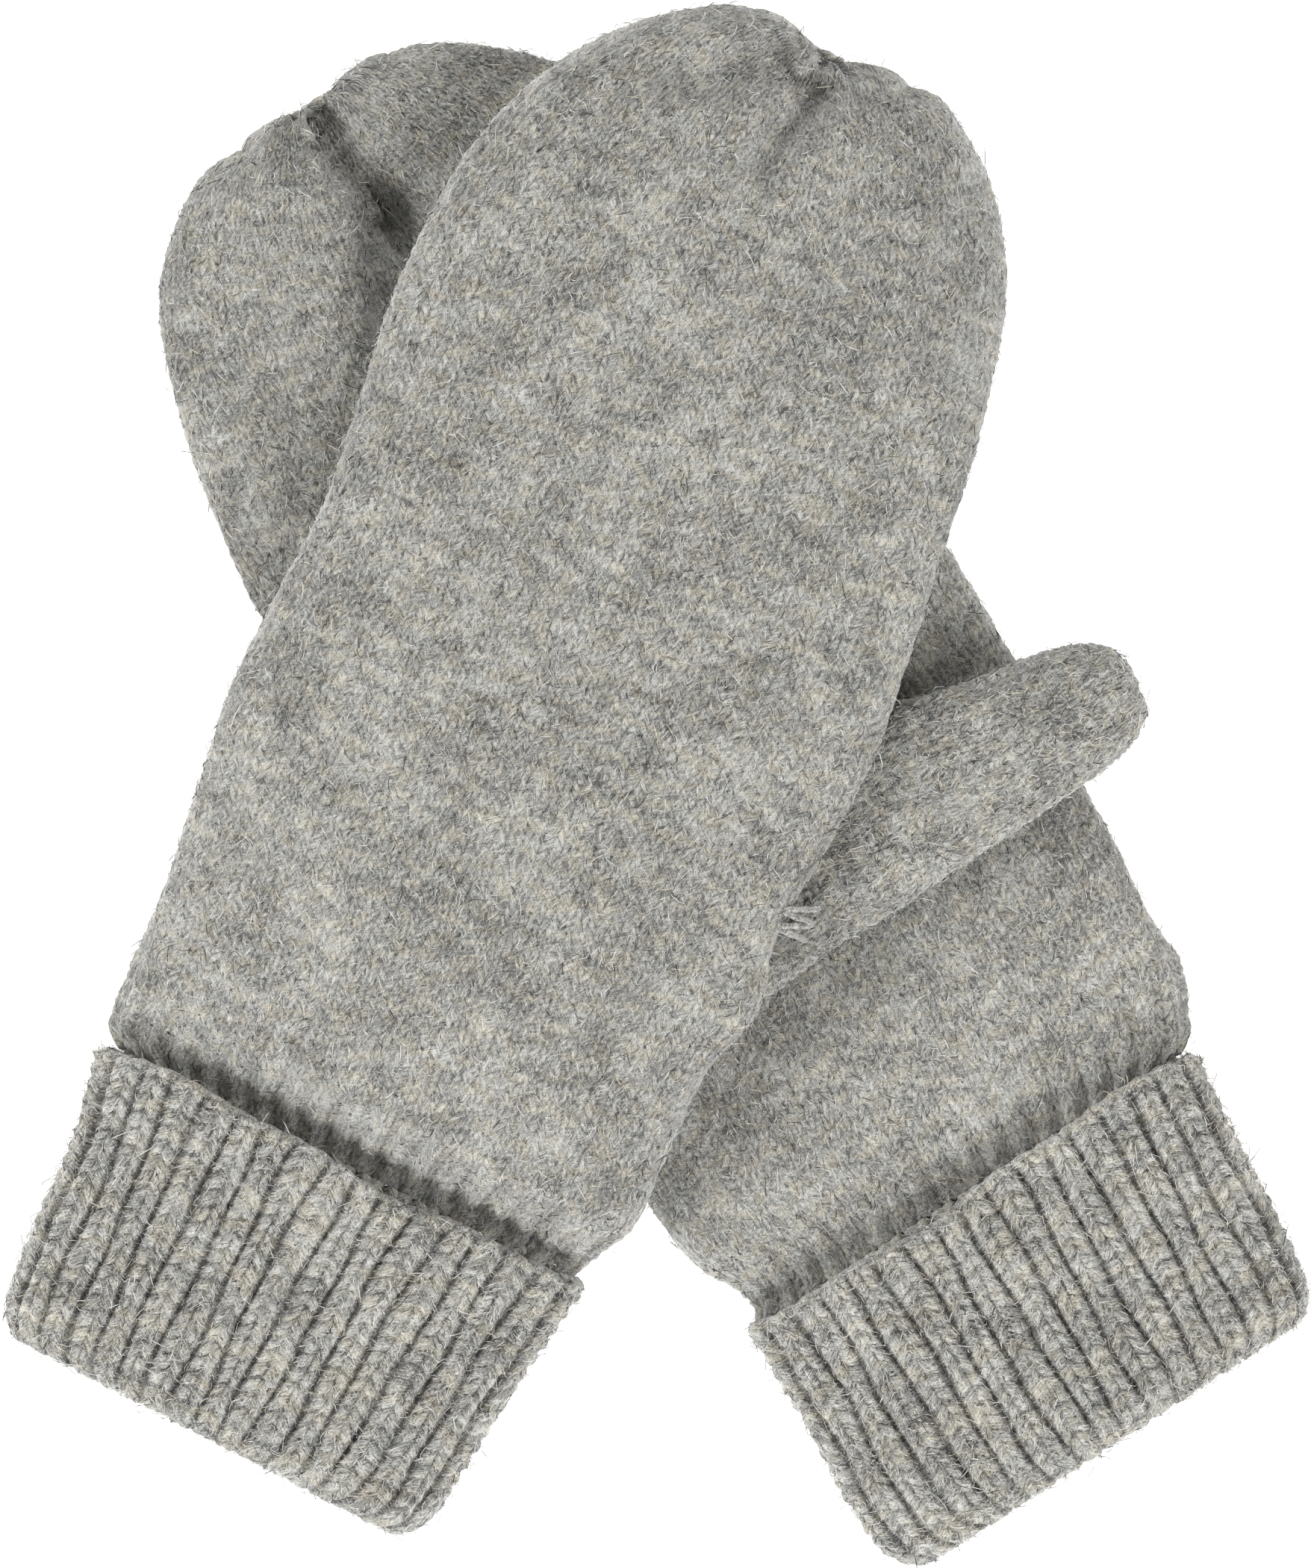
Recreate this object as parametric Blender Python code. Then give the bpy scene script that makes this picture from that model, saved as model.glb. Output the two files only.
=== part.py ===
"""A pair of knitted wool mittens, laid flat and crossed, palms down, the left one over the right one.

Each mitten is a flattened knitted tube that is closed at the fingertips, a ribbed cuff whose outer
half is turned up over its inner half, and a thumb that is joined under the palm near its edge.
Lengths are in metres, +Z is up, and the table is the plane z = 0.

A mitten's own frame has its origin at the middle of the cuff's fold. "along" runs from there to the
fingertips, and "across" is measured from the centre line, positive towards the thumb.
"""

import math

import bmesh
import bpy
from mathutils import Matrix, Vector

MM = 0.001

# The knitted layers
LAYER = 17.0 * MM  # a mitten's thickness as it lies, back to palm
HAND_WALL = 2.5 * MM
CUFF_WALL = 2.8 * MM
THUMB_WALL = 1.9 * MM
GAP = 0.4 * MM  # between pieces that touch

# The hand
CUFF_HEIGHT = 50.5 * MM
HAND_START = 51.0 * MM
NECK_END = 54.0 * MM  # the hand stays inside the cuff's opening up to here
FOLD_HALF_WIDTH = 41.0 * MM
CUFF_FLARE = 0.13  # growth of the cuff's half width along the mitten
WRIST_HALF_WIDTH = 40.5 * MM
PALM_SPREAD = 13.7 * MM  # how far the half width grows from the wrist to the palm
SPREAD_LENGTH = 55.0 * MM
CROWN_LENGTH = 80.0 * MM  # the stretch that rounds off to the fingertips
CROWN_SETBACK = 3.0 * MM  # room for the closing yarn outside the gathered end

# The thumb, measured from its pivot
PIVOT_OFFSET = 40.5 * MM  # from the hand's middle
PIVOT_ALONG = 119.0 * MM
THUMB_LENGTH = 88.0 * MM
THUMB_ROOT = 18.0 * MM  # half width at the root
THUMB_TAPER = 6.0 * MM
THUMB_THICKNESS = 8.4 * MM
THUMB_ROUND = 20.0 * MM
THUMB_SETBACK = 2.5 * MM
THUMB_HOLE = 8.5 * MM  # radius of the opening between the hand and the thumb
THUMB_CLEARANCE = 0.6 * MM
HAND_OVER_THUMB = 8.2 * MM  # the hand's thickness where it lies on its thumb

# Where the upper mitten lies on the lower one
SUPPORT = 17.8 * MM
SLOPE_INSIDE = 11.0 * MM
SLOPE_OUTSIDE = 32.0 * MM

# Yarn
EDGE_YARN = 1.3 * MM  # radii
STITCH_YARN = 0.9 * MM

HAND_STATIONS = 26
RING_POINTS = 28
THUMB_RING_POINTS = 20
ROUNDNESS = 3.0  # exponent of a layer's rounded-rectangle section
FLATTENING = 1.08  # how much of that section is cut flat, top and bottom

LEFT = {
    "name": "left",
    "fold": (-80.67 * MM, -112.42 * MM),
    "heading": math.radians(23.9),
    "thumb_side": 1,
    "length": 270.0 * MM,
    "drift": 3.5 * MM,  # how far the hand's middle lies beside the centre line
    "cuff_tilt": math.radians(3.5),
    "thumb_swing": math.radians(38.0),
    "base": 17.4 * MM,  # the height that its thumb lies at
}
RIGHT = {
    "name": "right",
    "fold": (82.54 * MM, -116.22 * MM),
    "heading": math.radians(-31.5),
    "thumb_side": -1,
    "length": 281.0 * MM,
    "drift": -2.5 * MM,
    "cuff_tilt": math.radians(-1.5),
    "thumb_swing": 0.0,
    "base": 0.0,
}


def smooth(low, high, value):
    """0 below low, 1 above high, and a smooth step between them."""
    t = min(max((value - low) / (high - low), 0.0), 1.0)
    return t * t * (3.0 - 2.0 * t)


# --- the mitten's outline and heights ---------------------------------------------------------


def hand_half_width(along, length):
    """Half of the width of the hand as it lies, rounded off over the crown."""
    body = WRIST_HALF_WIDTH + PALM_SPREAD * (1.0 - math.exp(-along / SPREAD_LENGTH))
    s = min(max((along - length + CROWN_LENGTH) / CROWN_LENGTH, 0.0), 1.0)
    return body * (1.0 - s**2.5) ** (1.0 / 2.8)


def turnup_half_width(along):
    return FOLD_HALF_WIDTH + CUFF_FLARE * along


def inner_cuff_half_width(along):
    return turnup_half_width(along) - CUFF_WALL - GAP


def centre(mitten, along):
    """The across position of the mitten's middle."""
    return mitten["drift"] * smooth(0.0, 100.0 * MM, along)


def over_thumb(off, along):
    """1 where the hand has to clear its own thumb at every swing, falling to 0 around that."""
    side = smooth(-2.0 * MM, 16.0 * MM, off)
    start = smooth(82.0 * MM, 100.0 * MM, along)
    end = smooth(212.0 * MM, 232.0 * MM, along)
    return side * start * (1.0 - end)


def to_world(mitten, across, along):
    x, y = across * mitten["thumb_side"], along
    c, s = math.cos(mitten["heading"]), math.sin(mitten["heading"])
    return mitten["fold"][0] + x * c + y * s, mitten["fold"][1] - x * s + y * c


def from_world(mitten, x, y):
    dx, dy = x - mitten["fold"][0], y - mitten["fold"][1]
    c, s = math.cos(mitten["heading"]), math.sin(mitten["heading"])
    return (dx * c - dy * s) * mitten["thumb_side"], dx * s + dy * c


def support_height(mitten, across, along):
    """How high the lower mitten holds the upper one up, at a place in the upper one's frame."""
    if mitten is RIGHT:
        return 0.0
    under_across, under_along = from_world(RIGHT, *to_world(mitten, across, along))
    half = hand_half_width(min(max(under_along, 0.0), RIGHT["length"]), RIGHT["length"])
    off = under_across - centre(RIGHT, under_along)
    if off > 0.0:  # its tucked thumb reaches a little past its palm
        reach = smooth(80.0 * MM, 105.0 * MM, under_along)
        half += 18.0 * MM * reach * (1.0 - smooth(210.0 * MM, 235.0 * MM, under_along))
    outside = max(abs(off) - half, under_along - RIGHT["length"])
    held = 1.0 - smooth(-SLOPE_INSIDE, SLOPE_OUTSIDE, outside)
    return SUPPORT * held * smooth(NECK_END, NECK_END + 9.0 * MM, along)


def layer_heights(mitten, across, along):
    """Heights of the hand's lower and upper surface, before its edges are rounded."""
    lift = support_height(mitten, across, along)
    fan = over_thumb(across - centre(mitten, along), along)
    cleared = mitten["base"] + THUMB_THICKNESS + THUMB_CLEARANCE
    low = lift * (1.0 - fan) + cleared * fan
    high = (lift + LAYER) * (1.0 - fan) + (cleared + HAND_OVER_THUMB) * fan
    return low, high


def section(half_width, count):
    """Points of a rounded rectangle of this half width and half height 1, flat top and bottom."""
    points = []
    for i in range(count):
        angle = 2.0 * math.pi * (i + 0.5) / count
        c, s = math.cos(angle), math.sin(angle)
        x = math.copysign(abs(c) ** (2.0 / ROUNDNESS), c) * half_width
        z = math.copysign(abs(s) ** (2.0 / ROUNDNESS), s) * FLATTENING
        points.append((x, min(max(z, -1.0), 1.0)))
    return points


def hand_height(mitten, across, along, up, inset):
    """Height of a point at up, from -1 at the palm to 1 at the back, of the hand's skin."""
    low, high = layer_heights(mitten, across, along)
    cuffed = 1.0 - smooth(NECK_END, NECK_END + 16.0 * MM, along)
    tip = smooth(mitten["length"] - 18.0 * MM, mitten["length"], along)
    half = (high - low) / 2.0
    half -= (CUFF_WALL + GAP) * cuffed + 0.45 * half * tip
    half -= min(inset, 0.55 * half)
    return (low + high) / 2.0 + half * up


def hand_ring(mitten, along, inset):
    """One ring of the hand's outer skin, or of its inner one where inset is the wall."""
    end = mitten["length"] - CROWN_SETBACK
    half_width = hand_half_width(min(along + inset, end), mitten["length"]) - inset
    neck = 1.0 - smooth(NECK_END, NECK_END + 14.0 * MM, along)
    half_width += (inner_cuff_half_width(along) - hand_half_width(along, mitten["length"])) * neck
    middle = centre(mitten, along)
    straight = smooth(50.0 * MM, 110.0 * MM, along)
    ring = []
    for x, up in section(half_width, RING_POINTS):
        across = middle + x
        z = hand_height(mitten, across, along, up, inset)
        flat = Vector((across * mitten["thumb_side"], along, z))
        tilted = Matrix.Rotation(-mitten["cuff_tilt"], 3, "Z") @ flat
        ring.append(tilted.lerp(flat, straight))
    return ring


# --- making objects ---------------------------------------------------------------------------


def clear_scene():
    for old in list(bpy.data.objects):
        bpy.data.objects.remove(old, do_unlink=True)


def new_collection(name):
    collection = bpy.data.collections.new(name)
    bpy.context.scene.collection.children.link(collection)
    return collection


def wool(name, colour, roughness):
    material = bpy.data.materials.new(name)
    material.use_nodes = True
    shader = material.node_tree.nodes["Principled BSDF"]
    shader.inputs["Base Color"].default_value = (*colour, 1.0)
    shader.inputs["Roughness"].default_value = roughness
    shader.inputs["Metallic"].default_value = 0.0
    return material


def finish_object(obj, parent, material):
    """Hangs the object on its parent empty, in the parent's frame, and gives it its material."""
    obj.parent = parent
    obj.data.materials.clear()
    obj.data.materials.append(material)
    return obj


def new_mesh_object(name, bm, collection):
    bmesh.ops.recalc_face_normals(bm, faces=bm.faces)
    mesh = bpy.data.meshes.new(name)
    bm.to_mesh(mesh)
    bm.free()
    mesh.shade_smooth()
    mesh.set_sharp_from_angle(angle=math.radians(50.0))
    obj = bpy.data.objects.new(name, mesh)
    collection.objects.link(obj)
    return obj


def loft(name, rings, collection, joined_ends=False):
    """A closed body through rings of equal size, capped at both ends or joined into a sleeve."""
    bm = bmesh.new()
    loops = [[bm.verts.new(point) for point in ring] for ring in rings]
    pairs = list(zip(loops, loops[1:]))
    if joined_ends:
        pairs.append((loops[-1], loops[0]))
    else:
        bm.faces.new(loops[0])
        bm.faces.new(loops[-1])
    for first, second in pairs:
        for i in range(len(first)):
            j = (i + 1) % len(first)
            bm.faces.new((first[i], first[j], second[j], second[i]))
    return new_mesh_object(name, bm, collection)


def disc_cutter(name, radius, low, high, parent, collection):
    """A vertical cylinder on its parent's Z axis, from low to high."""
    bm = bmesh.new()
    bmesh.ops.create_cone(
        bm, cap_ends=True, segments=24, radius1=radius, radius2=radius, depth=high - low
    )
    bmesh.ops.translate(bm, verts=bm.verts, vec=(0.0, 0.0, (low + high) / 2.0))
    return hide_cutter(new_mesh_object(name, bm, collection), parent)


def hide_cutter(obj, parent):
    obj.parent = parent
    obj.hide_render = True
    obj.display_type = "WIRE"
    return obj


def cut(obj, cutter):
    modifier = obj.modifiers.new("cut " + cutter.name, "BOOLEAN")
    modifier.operation = "DIFFERENCE"
    modifier.object = cutter


def yarn_object(name, points, radius, closed, collection):
    """A round yarn along these points."""
    curve = bpy.data.curves.new(name, "CURVE")
    curve.dimensions = "3D"
    curve.bevel_depth = radius
    curve.bevel_resolution = 2
    curve.use_fill_caps = not closed
    spline = curve.splines.new("POLY")
    spline.points.add(len(points) - 1)
    for target, point in zip(spline.points, points):
        target.co = (*point, 1.0)
    spline.use_cyclic_u = closed
    obj = bpy.data.objects.new(name, curve)
    collection.objects.link(obj)
    return obj


def empty(name, location, heading, collection, parent=None):
    """A frame whose +Y axis points along the heading, clockwise from its parent's +Y."""
    obj = bpy.data.objects.new(name, None)
    obj.parent = parent
    obj.location = location
    obj.rotation_euler.z = -heading
    collection.objects.link(obj)
    return obj


# --- the pieces of one mitten -----------------------------------------------------------------


def stations(start, end, count):
    """Places along the hand that come closer together towards both ends."""
    steps = [0.5 - 0.5 * math.cos(math.pi * i / count) for i in range(count + 1)]
    return [start + (end - start) * step for step in steps]


def make_hand(mitten, frame, parts, cutters, material):
    """The palm and back: a flat tube, open at the wrist, with the thumb's opening in its palm."""
    end = mitten["length"] - CROWN_SETBACK
    outer = [hand_ring(mitten, v, 0.0) for v in stations(HAND_START, end, HAND_STATIONS)]
    inner_end = end - HAND_WALL
    inner = [hand_ring(mitten, v, HAND_WALL) for v in stations(HAND_START, inner_end, HAND_STATIONS)]
    obj = loft(mitten["name"] + "_hand", inner[::-1] + outer, parts)
    finish_object(obj, frame, material)
    low, high = layer_heights(mitten, pivot_across(mitten), PIVOT_ALONG)
    pivot = empty(mitten["name"] + "_thumb_opening", pivot_place(mitten, 0.0), 0.0, cutters, frame)
    name = mitten["name"] + "_palm_hole"
    cut(obj, disc_cutter(name, THUMB_HOLE, low - MM, (low + high) / 2.0, pivot, cutters))


def sleeve(name, half_width, half_height, wall, start, end, mitten, parts):
    """A flat sleeve of even wall, with its middle at half the layer's thickness."""

    def ring(along, inset):
        middle = centre(mitten, along)
        side = mitten["thumb_side"]
        points = section(half_width(along) - inset, RING_POINTS)
        z = [LAYER / 2.0 + (half_height - inset) * up for _, up in points]
        return [Vector(((middle + x) * side, along, h)) for (x, _), h in zip(points, z)]

    rings = [ring(start, 0.0), ring(end, 0.0), ring(end, wall), ring(start, wall)]
    return loft(name, rings, parts, joined_ends=True)


def make_cuff(mitten, frame, parts, rib_wool):
    """The cuff: its inner half, the half that is turned up over it, and the yarn along its edge."""
    name = mitten["name"]
    inner_half = LAYER / 2.0 - CUFF_WALL - GAP
    inner = sleeve(
        name + "_cuff_inner", inner_cuff_half_width, inner_half, HAND_WALL,
        0.0, HAND_START - GAP, mitten, parts,
    )
    finish_object(inner, frame, rib_wool)
    turnup = sleeve(
        name + "_cuff_turnup", turnup_half_width, LAYER / 2.0, CUFF_WALL,
        -1.5 * MM, CUFF_HEIGHT, mitten, parts,
    )
    finish_object(turnup, frame, rib_wool)
    along = CUFF_HEIGHT + GAP + EDGE_YARN
    middle = centre(mitten, CUFF_HEIGHT)
    half_width = turnup_half_width(CUFF_HEIGHT) - CUFF_WALL / 2.0
    half_height = (LAYER - CUFF_WALL) / 2.0
    path = [
        ((middle + x) * mitten["thumb_side"], along, LAYER / 2.0 + half_height * up)
        for x, up in section(half_width, RING_POINTS)
    ]
    edge = yarn_object(name + "_cuff_edge", path, EDGE_YARN, True, parts)
    finish_object(edge, frame, rib_wool)


def thumb_half_width(s):
    """Half width of the thumb at the distance s from its pivot, towards its tip."""
    if s < 0.0:
        return math.sqrt(max(THUMB_ROOT**2 - s**2, 0.0))
    t = min(max((s - THUMB_LENGTH + THUMB_ROUND) / THUMB_ROUND, 0.0), 1.0)
    taper = THUMB_TAPER * smooth(20.0 * MM, 80.0 * MM, s)
    return (THUMB_ROOT - taper) * (1.0 - t**2.5) ** (1.0 / 2.5)


def thumb_rings(inset):
    """Rings from the round root to the tip, pulled in by inset all round."""
    root = [-math.cos(math.pi * i / 10.0) * THUMB_ROOT for i in range(1, 5)]
    end = THUMB_LENGTH - THUMB_SETBACK
    places = root + [end * math.sin(0.5 * math.pi * i / 10.0) for i in range(11)]
    scale = (end - inset) / end
    rings = []
    for s in places:
        moved = s * scale if s > 0.0 else s * (THUMB_ROOT - inset) / THUMB_ROOT
        half_height = THUMB_THICKNESS / 2.0 - inset
        points = section(thumb_half_width(s) - inset, THUMB_RING_POINTS)
        rings.append([Vector((x, moved, THUMB_THICKNESS / 2.0 + half_height * up)) for x, up in points])
    return rings


def pivot_across(mitten):
    return PIVOT_OFFSET + centre(mitten, PIVOT_ALONG)


def pivot_place(mitten, height):
    return (pivot_across(mitten) * mitten["thumb_side"], PIVOT_ALONG, height)


def make_thumb(mitten, frame, parts, cutters, body_wool, yarn):
    """The thumb: a flat tube that turns on its root, where it opens upwards into the hand."""
    name = mitten["name"]
    swing = mitten["thumb_swing"] * mitten["thumb_side"]
    pivot = empty(name + "_thumb_pivot", pivot_place(mitten, mitten["base"]), swing, parts, frame)
    thumb = loft(name + "_thumb", thumb_rings(0.0), parts)
    finish_object(thumb, pivot, body_wool)
    cut(thumb, hide_cutter(loft(name + "_thumb_hollow", thumb_rings(THUMB_WALL), cutters), pivot))
    middle, above = THUMB_THICKNESS / 2.0, THUMB_THICKNESS + MM
    cut(thumb, disc_cutter(name + "_thumb_mouth", THUMB_HOLE, middle, above, pivot, cutters))
    place = (0.0, THUMB_LENGTH - THUMB_SETBACK + GAP + 0.8 * MM, middle)
    ring_of_yarn(name + "_thumb_drawstring", place, 2.2 * MM, 0.8 * MM, pivot, parts, yarn)


def ring_of_yarn(name, place, radius, thickness, frame, parts, material):
    """The closing yarn, drawn up into a small ring that faces along the piece."""
    bpy.ops.mesh.primitive_torus_add(
        major_radius=radius, minor_radius=thickness, major_segments=16, minor_segments=8
    )
    obj = bpy.context.object
    obj.name = name
    obj.data.transform(Matrix.Rotation(math.radians(90.0), 4, "X"))
    obj.data.shade_smooth()
    for old in obj.users_collection:
        old.objects.unlink(obj)
    parts.objects.link(obj)
    finish_object(obj, frame, material)
    obj.location = place


def make_crown_drawstring(mitten, frame, parts, yarn):
    along = mitten["length"] - CROWN_SETBACK + GAP + 1.0 * MM
    across = centre(mitten, along)
    place = (
        across * mitten["thumb_side"],
        along,
        hand_height(mitten, across, along, 0.0, 0.0),
    )
    ring_of_yarn(mitten["name"] + "_crown_drawstring", place, 3.0 * MM, 1.0 * MM, frame, parts, yarn)


def make_join_stitches(mitten, frame, parts, yarn):
    """The darned stitches that close the hole at the thumb's crotch, over the edge of the hand."""
    passes, spacing, reach = 4, 2.3 * MM, 4.5 * MM
    points = []
    for i in range(passes):
        across = centre(mitten, PIVOT_ALONG) + 39.5 * MM + spacing * i
        ends = (-reach, reach) if i % 2 == 0 else (reach, -reach)
        points += [(across, 121.0 * MM + end) for end in ends]
    path = []
    for across, along in points:
        off = (across - centre(mitten, along)) / hand_half_width(along, mitten["length"])
        up = min(FLATTENING * (1.0 - abs(off) ** ROUNDNESS) ** (1.0 / ROUNDNESS), 1.0)
        z = hand_height(mitten, across, along, up, 0.0) + STITCH_YARN + GAP
        path.append((across * mitten["thumb_side"], along, z))
    name = mitten["name"] + "_thumb_join_stitches"
    finish_object(yarn_object(name, path, STITCH_YARN, False, parts), frame, yarn)


def make_mitten(mitten, parts, cutters, materials):
    body_wool, rib_wool, yarn = materials
    name, fold = mitten["name"], (*mitten["fold"], 0.0)
    frame = empty(name + "_mitten_frame", fold, mitten["heading"], parts)
    cuff_heading = mitten["heading"] + mitten["cuff_tilt"]
    cuff_frame = empty(name + "_cuff_frame", fold, cuff_heading, parts)
    make_hand(mitten, frame, parts, cutters, body_wool)
    make_cuff(mitten, cuff_frame, parts, rib_wool)
    make_thumb(mitten, frame, parts, cutters, body_wool, yarn)
    make_crown_drawstring(mitten, frame, parts, yarn)
    make_join_stitches(mitten, frame, parts, yarn)


def main():
    clear_scene()
    parts = new_collection("knitted_mittens")
    cutters = new_collection("cutters")
    body_wool = wool("body_wool", (0.36, 0.35, 0.32), 0.95)
    rib_wool = wool("rib_wool", (0.34, 0.33, 0.30), 0.95)
    yarn = wool("yarn", (0.42, 0.40, 0.36), 0.9)
    for mitten in (RIGHT, LEFT):
        make_mitten(mitten, parts, cutters, (body_wool, rib_wool, yarn))


main()
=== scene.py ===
"""A pair of knitted wool mittens, crossed and laid flat on a pale table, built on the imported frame.

Each mitten is knitted in the round: a stockinette hand that is gathered at the fingertips, a 1x1 rib
cuff that is turned up over itself, and a thumb worked out of the edge of the palm. The fabric is made
as a fine grid that follows the columns and rows of stitches, so every stitch is real relief, and loose
wool fibres lie over it. Lengths are in metres. In a mitten's own frame "along" runs from the middle of
the cuff's fold to the fingertips, and "across" from the centre line, positive towards the thumb.
"""

import math

import bpy
import numpy as np
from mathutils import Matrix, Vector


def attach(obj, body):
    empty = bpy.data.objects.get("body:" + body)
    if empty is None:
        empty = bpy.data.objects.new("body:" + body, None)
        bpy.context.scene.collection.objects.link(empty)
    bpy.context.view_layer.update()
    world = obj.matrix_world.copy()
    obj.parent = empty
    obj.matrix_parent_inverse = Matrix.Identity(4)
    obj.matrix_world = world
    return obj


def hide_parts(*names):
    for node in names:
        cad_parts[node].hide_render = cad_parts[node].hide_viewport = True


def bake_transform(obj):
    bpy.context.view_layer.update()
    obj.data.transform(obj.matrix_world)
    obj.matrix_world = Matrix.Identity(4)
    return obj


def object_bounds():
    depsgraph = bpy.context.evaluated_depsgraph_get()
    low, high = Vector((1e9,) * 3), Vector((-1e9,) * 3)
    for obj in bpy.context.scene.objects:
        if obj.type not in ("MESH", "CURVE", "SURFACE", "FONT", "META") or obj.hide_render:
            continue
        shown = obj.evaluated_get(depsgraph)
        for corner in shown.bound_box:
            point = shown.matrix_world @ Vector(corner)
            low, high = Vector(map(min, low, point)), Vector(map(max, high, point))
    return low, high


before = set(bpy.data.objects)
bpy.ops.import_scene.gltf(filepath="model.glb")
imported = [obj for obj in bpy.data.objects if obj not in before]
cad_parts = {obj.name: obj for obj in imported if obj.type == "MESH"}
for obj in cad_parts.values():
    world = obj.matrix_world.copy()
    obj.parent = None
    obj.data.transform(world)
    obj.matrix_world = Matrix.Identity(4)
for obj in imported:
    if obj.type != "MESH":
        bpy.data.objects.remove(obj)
CAD_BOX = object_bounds()

MM = 0.001

# The mitten's outline and layers, as in the CAD model
LAYER = 17.0 * MM
HAND_WALL = 2.5 * MM
CUFF_WALL = 2.8 * MM
GAP = 0.4 * MM
CUFF_HEIGHT = 50.5 * MM
HAND_START = 51.0 * MM
NECK_END = 54.0 * MM
FOLD_HALF_WIDTH = 41.0 * MM
CUFF_FLARE = 0.13
WRIST_HALF_WIDTH = 40.5 * MM
PALM_SPREAD = 13.7 * MM
SPREAD_LENGTH = 55.0 * MM
CROWN_LENGTH = 80.0 * MM
CROWN_POWER = 2.5
CROWN_ROOT = 2.8
PIVOT_OFFSET = 40.5 * MM
PIVOT_ALONG = 119.0 * MM
THUMB_START = -31.5 * MM  # from the pivot, as is the thumb's length
THUMB_LENGTH = 88.0 * MM
THUMB_ROOT = 18.0 * MM
THUMB_TAPER = 6.0 * MM
THUMB_THICKNESS = 8.4 * MM
THUMB_ROUND = 20.0 * MM
THUMB_CLEARANCE = 0.6 * MM
HAND_OVER_THUMB = 8.2 * MM
SUPPORT = 17.8 * MM
SLOPE_INSIDE = 11.0 * MM
SLOPE_OUTSIDE = 32.0 * MM
ROUNDNESS = 3.0
THUMB_ROUNDNESS = 2.1

# Softer shapes than the CAD model's
CUFF_LIP = 1.9 * MM  # how far the cuff's free edge stands up
BRIDGE_INSIDE = 20.0 * MM  # the upper skin's slope off the lower mitten
BRIDGE_OUTSIDE = 85.0 * MM
WRIST_DROP = 1.2 * MM
CROTCH_LIFT = 6.5 * MM
CROTCH_WEB = 2.0 * MM
THUMB_PUFF = 4.0 * MM

# The knitting
HAND_COLUMNS = 76
THUMB_COLUMNS = 28
HAND_ROW = 2.1 * MM
THUMB_RING = 0.42 * MM  # a fifth of a row
RIBS = 34
RIB_ROW = 3.0 * MM
LEG_SLOPE = 2.4  # rows that a leg of a V stitch rises over a whole column
RIB_LEG_SLOPE = 1.15
RIB_LEG_WIDEN = 1.24
STITCH_DEPTH = 0.62 * MM
STITCH_MIDDLE = 0.6  # the height of knit_relief that lies on the fabric's mean surface
RIB_STRIP_DEPTH = 0.7 * MM
RIB_STRIP_LENGTH = 28.0 * MM
COLUMN_STEPS = 6
ROW_STEPS = 5
RIB_STEPS = 12
INNER_RIB_STEPS = 8
LINING_RINGS = 45
INNER_CUFF_RINGS = 40
FOLD_FIBRE_RINGS = 13  # rings of the cuff's fold that grow loose fibres
CUFF_OUTSIDE_RINGS = 97
CUFF_FOLD_RINGS = 18
CUFF_INSIDE_RINGS = 12
CUFF_EDGE_RINGS = 6
SECTION_HALF_WIDTH = 44.0 * MM  # the cuff's, for spacing its ribs evenly
TIP_STEPS = (0.97, 0.9, 0.8, 0.67, 0.52, 0.35, 0.18)

# Loose fibres and yarns
HAND_FIBRES = 16500  # in each of the hand's two pieces
CUFF_FIBRES = 16500
THUMB_FIBRES = 12000
FIBRE_LEAN = 0.5  # radians that fibres lean with the legs of the stitches
RIB_FIBRE_LEAN = 0.75
EDGE_YARN = 1.1 * MM
GATHER_YARN = 1.0 * MM
DARN_YARN = 0.65 * MM
YARN_TWIST = 3.0 * MM
EDGE_YARN_TWIST = 5.4 * MM
DARN_OFFSET = 57.5 * MM
DARN_PASSES = 4
DARN_REACH = 2.7 * MM
DARN_SPACING = 1.6 * MM

# Camera and studio
CAMERA_DISTANCE = 2.5
FOCUS_HEIGHT = 0.012
VIEW_HEIGHT = 0.2808
SENSOR = 36.0
FLOOR_HALF = 3.0
LIGHT_SIZE = 0.5
LIGHTS = (  # name, place and watts
    ("left", (-1.1, -0.2, 0.7), 10.6),
    ("right", (1.1, -0.2, 0.7), 8.5),
    ("low", (0.0, -1.1, 0.7), 9.0),
    ("high", (0.1, 1.1, 0.7), 5.5),
)

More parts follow.
